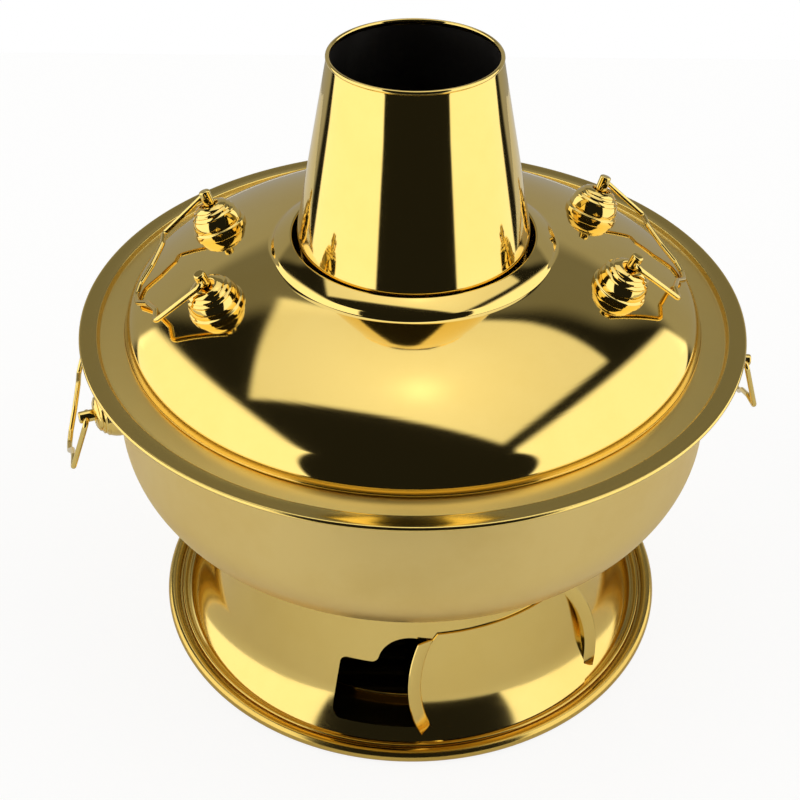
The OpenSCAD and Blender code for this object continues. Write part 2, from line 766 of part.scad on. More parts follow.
bowl_bail(0);  // bowl_bail_right
bowl_bail(1);  // bowl_bail_left
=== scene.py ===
import math
import bpy
from mathutils import Matrix, Vector


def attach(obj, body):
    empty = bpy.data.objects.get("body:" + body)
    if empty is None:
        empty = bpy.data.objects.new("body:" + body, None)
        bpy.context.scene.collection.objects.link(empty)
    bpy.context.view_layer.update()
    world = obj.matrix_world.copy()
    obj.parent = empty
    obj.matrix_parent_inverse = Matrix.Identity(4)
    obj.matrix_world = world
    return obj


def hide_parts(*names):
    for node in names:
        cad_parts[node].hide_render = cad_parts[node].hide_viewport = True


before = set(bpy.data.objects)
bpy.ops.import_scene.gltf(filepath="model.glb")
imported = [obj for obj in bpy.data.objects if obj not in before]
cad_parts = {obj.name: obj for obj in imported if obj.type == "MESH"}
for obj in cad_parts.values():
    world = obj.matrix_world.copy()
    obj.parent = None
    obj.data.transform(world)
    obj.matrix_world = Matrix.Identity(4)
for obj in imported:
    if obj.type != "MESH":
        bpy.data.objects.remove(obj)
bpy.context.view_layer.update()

# Camera. It looks down on the pot from the front at the photograph's angle, a little
# rolled, with the pot slightly right of the optical axis.
view_distance = 0.71718
view_elevation = math.radians(37.532)
view_roll = math.radians(0.502)
aim_height = 0.12085
ahead = Vector((0, math.cos(view_elevation), -math.sin(view_elevation)))
level_right = Vector((1, 0, 0))
level_up = level_right.cross(ahead)
right = level_right * math.cos(view_roll) + level_up * math.sin(view_roll)
up = level_up * math.cos(view_roll) - level_right * math.sin(view_roll)
eye_point = Vector((0, 0, aim_height)) - ahead * view_distance
bpy.ops.object.select_all(action="DESELECT")
bpy.ops.object.camera_add()
camera = bpy.context.object
camera.name = "camera"
camera.matrix_world = Matrix((
    (right.x, up.x, -ahead.x, eye_point.x),
    (right.y, up.y, -ahead.y, eye_point.y),
    (right.z, up.z, -ahead.z, eye_point.z),
    (0, 0, 0, 1)))
camera.data.sensor_width = 36
camera.data.lens = 63
camera.data.shift_x = -0.01523
camera.data.clip_start = 0.01
camera.data.clip_end = 50
bpy.context.scene.camera = camera
bpy.context.scene.view_settings.view_transform = "Standard"

# Table. A white table top that ends some way in front of the pot, as in a small studio.
# It shows white to the camera and keeps a soft shadow of the pot.
table_front = -0.42
table_back = 0.70
table_half = 0.60
glow_always = 0.16
glow_in_view = 0.62
bpy.ops.object.select_all(action="DESELECT")
bpy.ops.mesh.primitive_plane_add(size=1, location=(0, 0, 0))
table = bpy.context.object
table.name = "table_top"
bpy.ops.object.mode_set(mode="EDIT")
bpy.ops.mesh.select_all(action="SELECT")
bpy.ops.transform.resize(value=(2 * table_half, table_back - table_front, 1))
bpy.ops.transform.translate(value=(0, (table_back + table_front) / 2, 0))
bpy.ops.object.mode_set(mode="OBJECT")
table_paint = bpy.data.materials.new("white_table")
table_paint.use_nodes = True
paint_tree = table_paint.node_tree
for node in list(paint_tree.nodes):
    paint_tree.nodes.remove(node)
paint_out = paint_tree.nodes.new("ShaderNodeOutputMaterial")
paint = paint_tree.nodes.new("ShaderNodeBsdfPrincipled")
paint.inputs["Base Color"].default_value = (0.82, 0.82, 0.81, 1)
paint.inputs["Roughness"].default_value = 0.9
paint.inputs["Specular IOR Level"].default_value = 0.1
white = paint_tree.nodes.new("ShaderNodeEmission")
white.inputs["Strength"].default_value = 1.12
seen = paint_tree.nodes.new("ShaderNodeLightPath")
share = paint_tree.nodes.new("ShaderNodeMath")
share.operation = "MULTIPLY_ADD"
share.inputs[1].default_value = glow_in_view
share.inputs[2].default_value = glow_always
blend = paint_tree.nodes.new("ShaderNodeMixShader")
paint_tree.links.new(seen.outputs["Is Camera Ray"], share.inputs[0])
paint_tree.links.new(share.outputs["Value"], blend.inputs["Fac"])
paint_tree.links.new(paint.outputs["BSDF"], blend.inputs[1])
paint_tree.links.new(white.outputs["Emission"], blend.inputs[2])
paint_tree.links.new(blend.outputs["Shader"], paint_out.inputs["Surface"])
table.data.materials.append(table_paint)

# Studio light. Soft boxes stand at the left, at the right and overhead, the wall behind the
# table is dim, and the side of the camera stays dark; each is a patch of the world.
studio = bpy.context.scene.world or bpy.data.worlds.new("studio")
bpy.context.scene.world = studio
studio.use_nodes = True
sky_tree = studio.node_tree
for node in list(sky_tree.nodes):
    sky_tree.nodes.remove(node)


def math_node(tree, operation, *values):
    """A math node in a node tree, fed with numbers or with other nodes' outputs."""
    node = tree.nodes.new("ShaderNodeMath")
    node.operation = operation
    for socket, value in zip(node.inputs, values):
        if isinstance(value, (int, float)):
            socket.default_value = value
        else:
            tree.links.new(value, socket)
    return node.outputs["Value"]


def sky_math(operation, *values):
    return math_node(sky_tree, operation, *values)


def sky_step(value, low, high):
    """0 under low, 1 over high and a smooth rise between them."""
    node = sky_tree.nodes.new("ShaderNodeMapRange")
    node.interpolation_type = "SMOOTHSTEP"
    sky_tree.links.new(value, node.inputs["Value"])
    node.inputs["From Min"].default_value = low
    node.inputs["From Max"].default_value = high
    return node.outputs["Result"]


direction = sky_tree.nodes.new("ShaderNodeTexCoord")
split = sky_tree.nodes.new("ShaderNodeSeparateXYZ")
sky_tree.links.new(direction.outputs["Generated"], split.inputs["Vector"])


def along(x, y, z):
    """How far the direction that is looked up points the way of x, y, z: 1 is straight that way."""
    length = math.sqrt(x * x + y * y + z * z)
    return sky_math("MULTIPLY_ADD", split.outputs["X"], x / length,
                    sky_math("MULTIPLY_ADD", split.outputs["Y"], y / length,
                             sky_math("MULTIPLY", split.outputs["Z"], z / length)))


def light_patch(strength, *planes, soft=0.02):
    """A part of the studio on the inner side of planes through the pot, at one brightness.

    A plane is given by its normal, and soft is half the width of the patch's blurred edge.
    """
    level = strength
    for plane in planes:
        level = sky_math("MULTIPLY", sky_step(along(*plane), -soft, soft), level)
    return level


def lamp_glow(x, y, z, spread, strength):
    """A round glow where the lamp shines through the cloth of its soft box."""
    near = sky_math("MAXIMUM", along(x, y, z), 0)
    return sky_math("MULTIPLY", sky_math("POWER", near, 1 / spread ** 2), strength)


# Planes that bound each soft box: its side of the pot, front edge, upper edge and back edge
left_box = ((-1, 0, 0), (-1.355, 1, -0.356), (-1.50, -1.12, -1), (-0.254, -0.41, 0.2245))
right_box = ((1, 0, 0), (1.10, 1, -0.287), (1.65, -1.20, -1), (0.254, -0.41, 0.2245))
# The overhead box has four edges, turned a little; the last plane keeps it above the table
overhead_box = ((0.951, -0.309, 0.72), (0.309, 0.951, 0.053), (-0.864, 0.575, 0.437),
                (-0.309, -0.951, 0.81), (0, 0, 1))
lamp_way = (0.03, 0.146, 1)
# The wall behind the table: its lit lower part and its dimmer upper part
low_wall = ((-0.70, 1, 0), (0.70, 1, 0), (0, 0.55, -1))
high_wall = ((-1.0, 1, 0), (1.0, 1, 0), (0, -0.55, 1), (0, 1.15, -1))
dark_side = 0.014
patches = [
    light_patch(1.35, *left_box),
    light_patch(1.3, *right_box),
    light_patch(0.90, *overhead_box),
    light_patch(lamp_glow(*lamp_way, 0.28, 0.22), *overhead_box),
    lamp_glow(*lamp_way, 0.06, 0.35),
    light_patch(0.34, *low_wall, soft=0.05),
    light_patch(0.17, *high_wall, soft=0.06),
]
level = dark_side
for patch in patches:
    level = sky_math("ADD", patch, level)
light_path = sky_tree.nodes.new("ShaderNodeLightPath")
sky = sky_tree.nodes.new("ShaderNodeBackground")
sky.inputs["Color"].default_value = (1, 0.985, 0.955, 1)
sky_white = sky_tree.nodes.new("ShaderNodeBackground")
sky_white.inputs["Color"].default_value = (1, 1, 1, 1)
sky_out = sky_tree.nodes.new("ShaderNodeOutputWorld")
sky_tree.links.new(level, sky.inputs["Strength"])
sky_pick = sky_tree.nodes.new("ShaderNodeMixShader")
sky_tree.links.new(light_path.outputs["Is Camera Ray"], sky_pick.inputs["Fac"])
sky_tree.links.new(sky.outputs["Background"], sky_pick.inputs[1])
sky_tree.links.new(sky_white.outputs["Background"], sky_pick.inputs[2])
sky_tree.links.new(sky_pick.outputs["Shader"], sky_out.inputs["Surface"])

# Base tray. A spun brass-coloured dish with a rolled bead and a low ridge that centres
# the pedestal. Polished sheet, loose under the pot.
# Outlines are drawn in millimetres; a bead or round is centre radius, centre height, radius
mm = 0.001
least_step = 0.004
weld_distance = 1e-6
smooth_angle = math.radians(32)
tray_floor = 1.0
tray_seat_r = 123.6
tray_rim_z = 2.4
tray_ridge = (126.1, 3.0, 1.5)
tray_bead = (131.7, 3.2, 3.2)


def arc(cx, cz, r, start, end, count):
    """Points on an arc, in millimetres, from one angle to another in degrees."""
    return [(cx + r * math.cos(math.radians(start + (end - start) * i / count)),
             cz + r * math.sin(math.radians(start + (end - start) * i / count)))
            for i in range(count + 1)]


def draw_section(name, points):
    """Draws a line of points in the XZ plane, vertex by vertex, as a new mesh of edges."""
    kept = [points[0]]
    for p in points[1:]:
        if math.dist(p, kept[-1]) > least_step:
            kept.append(p)
    bpy.ops.object.select_all(action="DESELECT")
    bpy.ops.mesh.primitive_plane_add(size=0.001, location=(0, 0, 0))
    piece = bpy.context.object
    piece.name = name
    piece.data.name = name
    bpy.ops.object.mode_set(mode="EDIT")
    bpy.ops.mesh.select_all(action="SELECT")
    bpy.ops.mesh.merge(type="CENTER")
    bpy.ops.transform.translate(value=(kept[0][0] * mm, 0, kept[0][1] * mm))
    for before, after in zip(kept, kept[1:]):
        step = ((after[0] - before[0]) * mm, 0, (after[1] - before[1]) * mm)
        bpy.ops.mesh.extrude_vertices_move(TRANSFORM_OT_translate={"value": step})
    bpy.ops.object.mode_set(mode="OBJECT")
    return piece


def spin_sheet(name, points, steps=192):
    """Spins a closed section about Z into a sheet-metal ring with smooth faces."""
    piece = draw_section(name, points + [points[0]])
    bpy.ops.object.mode_set(mode="EDIT")
    bpy.ops.mesh.select_all(action="SELECT")
    bpy.ops.mesh.remove_doubles(threshold=weld_distance)
    bpy.ops.mesh.select_all(action="SELECT")
    bpy.ops.mesh.spin(steps=steps, angle=math.radians(360), center=(0, 0, 0), axis=(0, 0, 1))
    bpy.ops.mesh.select_all(action="SELECT")
    bpy.ops.mesh.remove_doubles(threshold=weld_distance)
    bpy.ops.mesh.select_all(action="SELECT")
    bpy.ops.mesh.normals_make_consistent(inside=False)
    bpy.ops.object.mode_set(mode="OBJECT")
    bpy.ops.object.shade_smooth_by_angle(angle=smooth_angle)
    return piece


tray = spin_sheet("base_tray_sheet", [(0, 0)] + arc(*tray_bead, -90, 194, 30)
                  + arc(*tray_ridge, -24, 204, 20)
                  + [(tray_seat_r, tray_rim_z), (tray_seat_r, tray_floor), (0, tray_floor)])

# The polish: fine rings left by the spinning lathe, a faint unevenness of the sheet and
# thin haze. The group gives a height for a bump, a roughness and a tint mask.
polish_group = bpy.data.node_groups.new("spun_polish", "ShaderNodeTree")
for name, value in (("Ring Pitch", 900.0), ("Ring Height", 0.12), ("Sheet Waves", 0.5),
                    ("Gloss", 0.06), ("Haze", 0.05)):
    socket = polish_group.interface.new_socket(name=name, in_out="INPUT", socket_type="NodeSocketFloat")
    socket.default_value = value
for name in ("Height", "Roughness", "Tint"):
    polish_group.interface.new_socket(name=name, in_out="OUTPUT", socket_type="NodeSocketFloat")
gt = polish_group
group_in = gt.nodes.new("NodeGroupInput")
group_out = gt.nodes.new("NodeGroupOutput")


def polish_math(operation, *values):
    return math_node(gt, operation, *values)


spot = gt.nodes.new("ShaderNodeTexCoord")
parts = gt.nodes.new("ShaderNodeSeparateXYZ")
gt.links.new(spot.outputs["Object"], parts.inputs["Vector"])
x_squared = polish_math("MULTIPLY", parts.outputs["X"], parts.outputs["X"])
y_squared = polish_math("MULTIPLY", parts.outputs["Y"], parts.outputs["Y"])
radius = polish_math("SQRT", polish_math("ADD", x_squared, y_squared))
pitch = group_in.outputs["Ring Pitch"]
ring_spot = gt.nodes.new("ShaderNodeCombineXYZ")
gt.links.new(polish_math("MULTIPLY", radius, pitch), ring_spot.inputs["X"])
gt.links.new(polish_math("MULTIPLY", parts.outputs["Z"], pitch), ring_spot.inputs["Y"])
rings = gt.nodes.new("ShaderNodeTexNoise")
rings.noise_dimensions = "2D"
rings.inputs["Scale"].default_value = 1.0
rings.inputs["Detail"].default_value = 3.0
gt.links.new(ring_spot.outputs["Vector"], rings.inputs["Vector"])
waves = gt.nodes.new("ShaderNodeTexNoise")
waves.inputs["Scale"].default_value = 26.0
waves.inputs["Detail"].default_value = 1.0
gt.links.new(spot.outputs["Object"], waves.inputs["Vector"])
haze = gt.nodes.new("ShaderNodeTexNoise")
haze.inputs["Scale"].default_value = 14.0
haze.inputs["Detail"].default_value = 6.0
haze.inputs["Roughness"].default_value = 0.65
gt.links.new(spot.outputs["Object"], haze.inputs["Vector"])
ring_share = polish_math("MULTIPLY", rings.outputs["Fac"], group_in.outputs["Ring Height"])
wave_share = polish_math("MULTIPLY", waves.outputs["Fac"], group_in.outputs["Sheet Waves"])
height_sum = polish_math("ADD", ring_share, wave_share)
haze_mask = gt.nodes.new("ShaderNodeMapRange")
haze_mask.inputs["From Min"].default_value = 0.42
haze_mask.inputs["From Max"].default_value = 0.72
gt.links.new(haze.outputs["Fac"], haze_mask.inputs["Value"])
rough = polish_math("ADD", group_in.outputs["Gloss"],
                    polish_math("MULTIPLY", haze_mask.outputs["Result"], group_in.outputs["Haze"]))
ring_roughness = 0.015
rough = polish_math("ADD", rough, polish_math("MULTIPLY", rings.outputs["Fac"], ring_roughness))
gt.links.new(height_sum, group_out.inputs["Height"])
gt.links.new(rough, group_out.inputs["Roughness"])
gt.links.new(haze_mask.outputs["Result"], group_out.inputs["Tint"])


def spun_metal(name, light_tone, deep_tone, bump, **amounts):
    """A polished or satin metal with the spinning marks of the group in it."""
    metal = bpy.data.materials.new(name)
    metal.use_nodes = True
    mt = metal.node_tree
    shader = mt.nodes["Principled BSDF"]
    shader.inputs["Metallic"].default_value = 1.0
    marks = mt.nodes.new("ShaderNodeGroup")
    marks.node_tree = polish_group
    for label, amount in amounts.items():
        marks.inputs[label.replace("_", " ").title()].default_value = amount
    tint = mt.nodes.new("ShaderNodeMix")
    tint.data_type = "RGBA"
    tint.inputs[6].default_value = (*light_tone, 1)
    tint.inputs[7].default_value = (*deep_tone, 1)
    mt.links.new(marks.outputs["Tint"], tint.inputs[0])
    mt.links.new(tint.outputs[2], shader.inputs["Base Color"])
    mt.links.new(marks.outputs["Roughness"], shader.inputs["Roughness"])
    relief = mt.nodes.new("ShaderNodeBump")
    relief.inputs["Strength"].default_value = 1.0
    relief.inputs["Distance"].default_value = bump
    mt.links.new(marks.outputs["Height"], relief.inputs["Height"])
    mt.links.new(relief.outputs["Normal"], shader.inputs["Normal"])
    return metal


fine_bump = 0.00002
coarse_bump = 0.00004
bright_gold = spun_metal("polished_gold", (0.90, 0.675, 0.21), (0.87, 0.635, 0.18), fine_bump,
                         gloss=0.045, haze=0.03, ring_height=0.10, sheet_waves=1.0)
tray_brass = spun_metal("tray_brass", (0.74, 0.52, 0.13), (0.66, 0.44, 0.10), fine_bump,
                        gloss=0.15, haze=0.06, ring_pitch=1500.0, ring_height=0.4, sheet_waves=0.8)
tray.data.materials.append(tray_brass)
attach(tray, "tray")
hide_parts("base_tray")

# Ash pan. A shallow pressed pan of polished sheet with a small rolled edge, which lies
# on the tray and catches what falls through the grate.
pan_bead = (94.5, 4.0, 1.0)
pan_floor_r = 93.5
pan_inside_r = 92.8
pan_inside_z = 1.8
pan = spin_sheet("ash_pan_sheet", [(0, tray_floor), (pan_floor_r, tray_floor)]
                 + arc(*pan_bead, -60, 200, 16)
                 + [(pan_inside_r, pan_inside_z), (0, pan_inside_z)])
pan.data.materials.append(bright_gold)
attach(pan, "tray")
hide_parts("ash_pan")

# Pedestal skirt. One spun sheet that flares out in a long hollow curve, faster near its
# foot, with the stepped draft vent cut through its front. Softly polished sheet.
skirt_curve = (579.8, 176.0, 495.0)
skirt_sheet = 0.8
foot_r = 123.3
foot_flare = (153.84, 36.56, 46.8)
join_angle = 198.126
foot_end_angle = 227.9
skirt_top_z = 81.4
skirt_top_step = 0.2
vent_sill_z = 7.0
vent_shoulder_z = 38.0
vent_low_half = 38.3
vent_high_half = 34.5
vent_corner_r = 4.0
vent_crown_r = 16.0
vent_crown_z = 36.4
vent_hollow_r = 4
punch_reach = 0.15


def skirt_line(top_z, out, count=36):
    """The skirt's outer curve from top_z down to its foot, moved outwards by out."""
    cx, cz, r = skirt_curve
    first = 180 + math.degrees(math.asin((cz - top_z) / (r - out)))
    fx, fz, fr = foot_flare
    return (arc(cx, cz, r - out, first, join_angle, count)
            + arc(fx, fz, fr - out, join_angle, foot_end_angle, 20)[1:])


skirt = spin_sheet("pedestal_skirt_sheet", skirt_line(skirt_top_z, 0)
                   + [(foot_r, tray_floor + skirt_sheet), (foot_r, tray_floor)]
                   + skirt_line(skirt_top_z - skirt_top_step, -skirt_sheet)[::-1], steps=240)
hollow_z = vent_shoulder_z + vent_hollow_r
hollow_x = math.sqrt((vent_crown_r + vent_hollow_r) ** 2 - (hollow_z - vent_crown_z) ** 2)
meet = math.degrees(math.asin((hollow_z - vent_crown_z) / (vent_crown_r + vent_hollow_r)))
side_rise = vent_shoulder_z - vent_sill_z - 2 * vent_corner_r
side_lean = math.degrees(math.atan((vent_low_half - vent_high_half) / side_rise))
low_corner = (vent_low_half - vent_corner_r, vent_sill_z + vent_corner_r, vent_corner_r)
high_corner = (vent_high_half - vent_corner_r, vent_shoulder_z - vent_corner_r, vent_corner_r)
half_vent = (arc(*low_corner, -90, side_lean, 8) + arc(*high_corner, side_lean, 90, 8)
             + arc(hollow_x, hollow_z, vent_hollow_r, 270, 180 + meet, 8)
             + arc(0, vent_crown_z, vent_crown_r, meet, 90, 20))
other_half = [(-x, z) for x, z in half_vent[::-1]]
vent_punch = draw_section("vent_punch", half_vent + other_half + [half_vent[0]])
bpy.ops.object.mode_set(mode="EDIT")
bpy.ops.mesh.select_all(action="SELECT")
bpy.ops.mesh.remove_doubles(threshold=weld_distance)
bpy.ops.mesh.select_all(action="SELECT")
bpy.ops.mesh.edge_face_add()
bpy.ops.mesh.extrude_region_move(TRANSFORM_OT_translate={"value": (0, -punch_reach, 0)})
bpy.ops.mesh.select_all(action="SELECT")
bpy.ops.mesh.normals_make_consistent(inside=False)
bpy.ops.object.mode_set(mode="OBJECT")


def cut_with(piece, tool, operation="DIFFERENCE", keep_tool=False):
    """Cuts a piece with a tool, joins the two or keeps what they share, then drops the tool."""
    bpy.ops.object.select_all(action="DESELECT")
    piece.select_set(True)
    bpy.context.view_layer.objects.active = piece
    cutter = piece.modifiers.new("cut", "BOOLEAN")
    cutter.operation = operation
    cutter.solver = "EXACT"
    cutter.object = tool
    bpy.ops.object.modifier_apply(modifier=cutter.name)
    if not keep_tool:
        bpy.data.objects.remove(tool)
    bpy.ops.object.shade_smooth_by_angle(angle=smooth_angle)


cut_with(skirt, vent_punch)
soft_gold = spun_metal("soft_polished_gold", (0.89, 0.67, 0.215), (0.85, 0.62, 0.18), fine_bump,
                       gloss=0.085, haze=0.05, ring_pitch=1500.0, ring_height=0.3, sheet_waves=0.8)
skirt.data.materials.append(soft_gold)
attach(skirt, "pot")
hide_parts("pedestal_skirt")

# Draft door. A round leaf pressed to the skirt's own curve and trimmed above and below,
# with a folded lip along each side edge, in the skirt's metal. It slides over the vent.
door_r = 47.8
door_z = 24.5
door_top_z = 54.5
door_sheet = 0.8
door_gap = 0.35
door_turn = 27.5
lip_w = 6.2
lip_back = 5.0
lip_root = -20
lip_top_z = 51.5
lip_low_z = 4.0
leaf_cut_depth = 0.08
core_top_z = 90
core_foot_z = 2.6
door_tilt = math.asin((skirt_curve[1] - door_z) / skirt_curve[2])
door_side_r = skirt_curve[0] - skirt_curve[2] * math.cos(door_tilt)
door_frame = (Matrix.Rotation(math.radians(door_turn - 90), 4, "Z")
              @ Matrix.Translation((door_side_r * mm, 0, door_z * mm))
              @ Matrix.Rotation(math.pi / 2 - door_tilt, 4, "Y"))
door = spin_sheet("draft_door_leaf", skirt_line(door_top_z, door_gap, 24)
                  + skirt_line(door_top_z, door_gap + door_sheet, 24)[::-1],
                  steps=360)
bpy.ops.object.select_all(action="DESELECT")
leaf_r = door_r - door_sheet / 2
bpy.ops.mesh.primitive_cylinder_add(vertices=256, radius=leaf_r * mm, depth=leaf_cut_depth)
door_round = bpy.context.object
door_round.data.transform(door_frame)
cut_with(door, door_round, "INTERSECT")
lip_under = -lip_back - door_sheet
lips = spin_sheet("door_lips", [(door_r - door_sheet, lip_root), (door_r, lip_root),
                                (door_r, lip_under - 0.8), (door_r + 0.3, lip_under - 0.2),
                                (door_r + 0.9, lip_under),
                                (door_r + lip_w - 0.3, lip_under),
                                (door_r + lip_w, -lip_back - door_sheet / 2),
                                (door_r + lip_w - 0.3, -lip_back), (door_r, -lip_back),
                                (door_r - 0.6, -lip_back - 0.25),
                                (door_r - door_sheet, -lip_back - 0.9)], steps=256)
lips.data.transform(door_frame)
skirt_core = spin_sheet("skirt_core", [(0, core_top_z)]
                        + skirt_line(core_top_z, door_gap + door_sheet / 2, 24)
                        + [(foot_r, core_foot_z), (foot_r, 0), (0, 0)], steps=240)
cut_with(lips, skirt_core)
for level_z, keep_below in ((lip_top_z, True), (lip_low_z, False)):
    bpy.ops.object.mode_set(mode="EDIT")
    bpy.ops.mesh.select_all(action="SELECT")
    bpy.ops.mesh.bisect(plane_co=(0, 0, level_z * mm), plane_no=(0, 0, 1), use_fill=True,
                        clear_outer=keep_below, clear_inner=not keep_below)
    bpy.ops.object.mode_set(mode="OBJECT")
cut_with(door, lips, "UNION")
door.data.materials.append(soft_gold)
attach(door, "draft_door")
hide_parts("draft_door")

# Bowl. A deep spun ring with a conical bottom and a straight wall, in satin metal,
# brazed to the chimney, to the pedestal and to the rim ring.
bowl_wall_r = 145.8
bowl_sheet = 1.0
bowl_round = (101.8, 128.6, 44.0)
bowl_slope = 13.6
rim_under_z = 175.5
seam_r = 82.6
bend_start = math.radians(bowl_slope - 90)
bend_r = bowl_round[0] + bowl_round[2] * math.cos(bend_start)
bend_z = bowl_round[1] + bowl_round[2] * math.sin(bend_start)
seam_z = bend_z - (bend_r - seam_r) * math.tan(math.radians(bowl_slope))
bowl = spin_sheet("bowl_sheet", [(seam_r, seam_z)] + arc(*bowl_round, bowl_slope - 90, 0, 30)
                  + [(bowl_wall_r, rim_under_z), (bowl_wall_r - bowl_sheet, rim_under_z)]
                  + arc(bowl_round[0], bowl_round[1], bowl_round[2] - bowl_sheet, 0, bowl_slope - 90, 30)
                  + [(seam_r, seam_z + bowl_sheet)], steps=240)
satin_gold = spun_metal("satin_gold", (0.92, 0.70, 0.26), (0.88, 0.65, 0.22), fine_bump,
                        gloss=0.36, haze=0.05, ring_pitch=1500.0, ring_height=0.8, sheet_waves=0.6)
bowl.data.materials.append(satin_gold)
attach(bowl, "pot")
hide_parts("bowl", "bowl_wall")

# Rim ring. A polished ring brazed on the bowl's edge: rolled outer bead, flat band, a
# step down to the ledge that the lid lies on, and a turned-down inner lip.
rim_bead = (158.9, 178.25, 1.1)
ledge_z = 176.5
rim_z = 178.8
lip_in_r = 133.0
lip_foot_z = 171.0
# The ledge's faces lie within this radius and above this height, in metres
ledge_end = 0.1512
ledge_low = 0.1755
# The section goes from the bead over the band, down the step, along the ledge and back under
rim = spin_sheet("rim_ring_sheet", arc(*rim_bead, -75, 90, 14) + [(157.0, 179.12), (152.4, rim_z + 0.05)]
                 + arc(152.0, 178.3, 0.62, 100, 168, 5) + arc(150.0, 177.0, 0.6, -20, -88, 5)
                 + [(149.0, ledge_z), (136, ledge_z)] + arc(lip_in_r + 1.5, ledge_z - 1.5, 1.5, 90, 180, 8)
                 + [(lip_in_r, lip_foot_z), (lip_in_r + 1, lip_foot_z), (lip_in_r + 1, rim_under_z)]
                 + [(151.1, rim_under_z), (152.2, 177.8), (158.0, 177.85)], steps=240)
brushed_gold = spun_metal("brushed_gold", (0.89, 0.665, 0.20), (0.84, 0.61, 0.17), fine_bump,
                          gloss=0.12, haze=0.06, ring_pitch=1800.0, ring_height=0.5, sheet_waves=0.8)
rim.data.materials.append(brushed_gold)
ledge_gold = spun_metal("ledge_gold", (0.90, 0.68, 0.22), (0.86, 0.63, 0.19), fine_bump,
                        gloss=0.30, haze=0.05, ring_pitch=1800.0, ring_height=0.5, sheet_waves=0.8)
rim.data.materials.append(ledge_gold)
for face in rim.data.polygons:
    if math.hypot(face.center.x, face.center.y) < ledge_end and face.center.z > ledge_low:
        face.material_index = 1
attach(rim, "pot")
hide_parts("rim_ring")

# Chimney. A tapered tube rolled from sheet with a bead round its mouth and an in-turned
# flange at its foot; polished outside, with painted shade inside: a dark dull metal on its inner face.
chimney_foot_r = 83.5
chimney_foot_z = 74.0
chimney_top_r = 38.4
chimney_top_z = 308.2
chimney_taper = (chimney_foot_r - chimney_top_r) / (chimney_top_z - chimney_foot_z)
chimney_sheet = 1.0
mouth_bead_r = 1.0
neck_z = chimney_top_z - 1.6
flange_in_r = chimney_foot_r - 6.5
side_steps = 12
levels = [chimney_foot_z + (neck_z - chimney_foot_z) * i / side_steps for i in range(side_steps + 1)]
outer_side = [(chimney_foot_r - chimney_taper * (z - chimney_foot_z), z) for z in levels]
chimney = spin_sheet("chimney_tube", outer_side
                     + arc(chimney_top_r - 0.5, chimney_top_z, mouth_bead_r, -55, 200, 16)
                     + [(chimney_top_r - chimney_sheet, neck_z)]
                     + [(r - chimney_sheet, z) for r, z in outer_side[:0:-1]]
                     + [(chimney_foot_r - 1.3, chimney_foot_z + chimney_sheet),
                        (flange_in_r, chimney_foot_z + chimney_sheet), (flange_in_r, chimney_foot_z)],
                     steps=240)
# The inner face's dark dull metal is painted shade for the deep flue, not the tube's own colour
flue_shade_metal = spun_metal("painted_flue_shade", (0.24, 0.225, 0.21), (0.10, 0.095, 0.09), coarse_bump,
                        gloss=0.38, haze=0.25, ring_height=0.5, sheet_waves=1.0)
chimney.data.materials.append(bright_gold)
chimney.data.materials.append(flue_shade_metal)
# Faces on the inner side of the wall, below the mouth, take the painted shade
inner_face_depth = 0.7
flue_shade_top_z = chimney_top_z - 1.0
for face in chimney.data.polygons:
    middle = face.center
    out_r = math.hypot(middle.x, middle.y) / mm
    wall_r = chimney_foot_r - chimney_taper * (middle.z / mm - chimney_foot_z)
    if out_r < wall_r - inner_face_depth and middle.z / mm < flue_shade_top_z:
        face.material_index = 1
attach(chimney, "pot")
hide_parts("chimney", "grate_ring")

# Fire grate. A cast disc with rows of draft slots that lies on the chimney's flange.
# Rough and sooty. The solid of the frame is kept and only gets its material.
iron = bpy.data.materials.new("rough_iron")
iron.use_nodes = True
it = iron.node_tree
iron_shader = it.nodes["Principled BSDF"]
iron_shader.inputs["Metallic"].default_value = 0.6
grain_spot = it.nodes.new("ShaderNodeTexCoord")
grain = it.nodes.new("ShaderNodeTexNoise")
grain.inputs["Scale"].default_value = 700
grain.inputs["Detail"].default_value = 4
it.links.new(grain_spot.outputs["Object"], grain.inputs["Vector"])
iron_tone = it.nodes.new("ShaderNodeValToRGB")
iron_tone.color_ramp.elements[0].color = (0.012, 0.011, 0.010, 1)
iron_tone.color_ramp.elements[1].color = (0.055, 0.05, 0.045, 1)
it.links.new(grain.outputs["Fac"], iron_tone.inputs["Fac"])
it.links.new(iron_tone.outputs["Color"], iron_shader.inputs["Base Color"])
iron_rough = it.nodes.new("ShaderNodeMapRange")
iron_rough.inputs["To Min"].default_value = 0.65
iron_rough.inputs["To Max"].default_value = 0.9
it.links.new(grain.outputs["Fac"], iron_rough.inputs["Value"])
it.links.new(iron_rough.outputs["Result"], iron_shader.inputs["Roughness"])
iron_bump = it.nodes.new("ShaderNodeBump")
iron_bump.inputs["Distance"].default_value = 0.0003
it.links.new(grain.outputs["Fac"], iron_bump.inputs["Height"])
it.links.new(iron_bump.outputs["Normal"], iron_shader.inputs["Normal"])
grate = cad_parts["fire_grate"]
grate.data.materials.clear()
grate.data.materials.append(iron)

